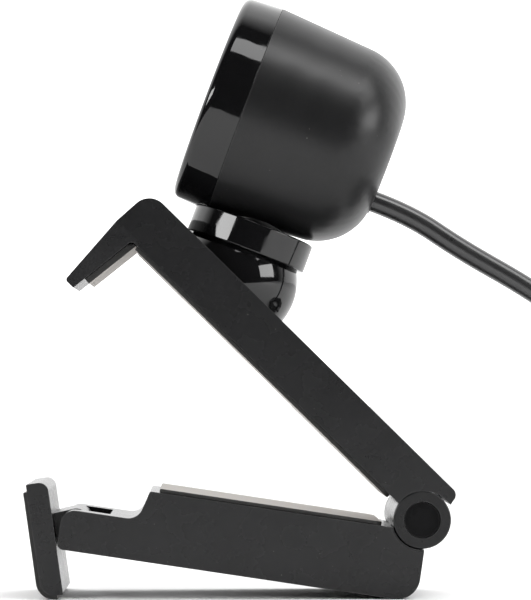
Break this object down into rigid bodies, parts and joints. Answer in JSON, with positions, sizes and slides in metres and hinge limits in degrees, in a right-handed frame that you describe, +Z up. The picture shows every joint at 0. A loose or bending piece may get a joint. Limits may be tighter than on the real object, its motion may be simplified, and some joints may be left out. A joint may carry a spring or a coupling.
{
  "type": "webcam with folding monitor clip",
  "caption": "Round-bodied webcam on a swivel and ball joint, carried by a hinged folding monitor clip with rubber pads, a turning foot and a coiled USB lead.",
  "frame": {"origin": "on the surface the object stands on, under the middle of the object without its cord", "axes": "+X to the rear, where the hinge and the cord are; the camera looks towards -X and upwards; +Y across the clip; +Z up"},
  "size_m": [0.1826, 0.0688, 0.1219],
  "materials": {
    "arm_plastic": "fine moulded grain, black",
    "cover_plastic": "fine moulded grain, black",
    "housing_plastic": "soft satin black",
    "cap_plastic": "smooth satin black",
    "inner_plastic": "plain black",
    "gloss_black": "polished black",
    "window_black": "polished black window",
    "pad_rubber": "dull black rubber",
    "cord_rubber": "smooth satin black jacket",
    "plug_rubber": "moulded black",
    "tie_plastic": "woven black tie",
    "pin_steel": "ground steel",
    "spring_steel": "drawn steel wire",
    "screw_steel": "blackened steel",
    "bush_brass": "turned brass",
    "lens_trim": "satin black ring",
    "lens_barrel_black": "matte black",
    "lens_glass": "coated glass",
    "filter_glass": "coated glass",
    "pipe_clear": "clear moulded",
    "led_body": "white chip",
    "chip_metal": "plated can",
    "chip_black": "sensor die",
    "board_green": "lacquered board",
    "connector_plastic": "cream moulded",
    "plug_shell": "nickel plated",
    "plug_tongue": "black insert",
    "contact_gold": "gold plated"
  },
  "bodies": {
    "lower_clip": {"lower_arm": "arm_plastic", "lower_cover": "cover_plastic", "lower_cover_screws": "screw_steel", "lower_pad": "pad_rubber", "hinge_pin": "pin_steel"},
    "upper_clip": {"upper_arm": "arm_plastic", "arm_cover": "cover_plastic", "arm_cover_screws": "screw_steel", "arm_pad": "pad_rubber", "lip_pad": "pad_rubber", "hinge_bushes": "bush_brass", "hinge_cap_left": "cap_plastic", "hinge_cap_right": "cap_plastic", "ball_seat": "inner_plastic", "seat_screws": "screw_steel"},
    "foot": {"foot": "arm_plastic", "foot_pad": "pad_rubber", "foot_pin": "pin_steel"},
    "rocker": {"clamp_cup": "inner_plastic"},
    "swivel_ball": {"ball": "gloss_black", "swivel_disc": "gloss_black", "centre_stem": "pin_steel", "clamp_cone": "inner_plastic", "clamp_spring": "spring_steel", "clamp_nut": "pin_steel", "pan_washer": "pin_steel", "pan_nut": "pin_steel"},
    "head": {"rear_housing": "housing_plastic", "front_bezel": "gloss_black", "front_window": "window_black", "light_pipe": "pipe_clear", "status_led": "led_body", "microphones": "chip_metal", "lens_ring": "lens_trim", "lens_barrel": "lens_barrel_black", "front_lens": "lens_glass", "inner_lenses": "lens_glass", "lens_holder": "inner_plastic", "infrared_filter": "filter_glass", "image_sensor": "chip_black", "camera_board": "board_green", "board_screws": "screw_steel", "board_connector": "connector_plastic", "cord_gland": "cord_rubber", "inner_cable": "cord_rubber", "cord_tube": "cord_rubber", "cord_coil": "cord_rubber", "cord_tail": "cord_rubber", "coil_tie": "tie_plastic", "usb_overmould": "plug_rubber", "usb_shell": "plug_shell", "usb_tongue": "plug_tongue", "usb_contacts": "contact_gold"}
  },
  "joints": [
    {"name": "clip_hinge", "type": "hinge", "parent": "lower_clip", "child": "upper_clip", "pos_m": [0.03653, 0, 0.0158], "axis": [0, -1, 0], "range_deg": [-112, 32.5]},
    {"name": "foot_hinge", "type": "hinge", "parent": "lower_clip", "child": "foot", "pos_m": [-0.0329, 0, 0.01531], "axis": [0, -1, 0], "range_deg": [-106, 0]},
    {"name": "ball_tilt", "type": "hinge", "parent": "upper_clip", "child": "rocker", "pos_m": [-0.00099, 0, 0.06422], "axis": [0, 1, 0], "range_deg": [0, 38]},
    {"name": "ball_roll", "type": "hinge", "parent": "rocker", "child": "swivel_ball", "pos_m": [-0.00099, 0, 0.06422], "axis": [-0.9361, 0, 0.3518], "range_deg": [-6, 6]},
    {"name": "head_pan", "type": "hinge", "parent": "swivel_ball", "child": "head", "pos_m": [-0.00099, 0, 0.06422], "axis": [0.3518, 0, 0.9361], "range_deg": [-180, 180]}
  ]
}
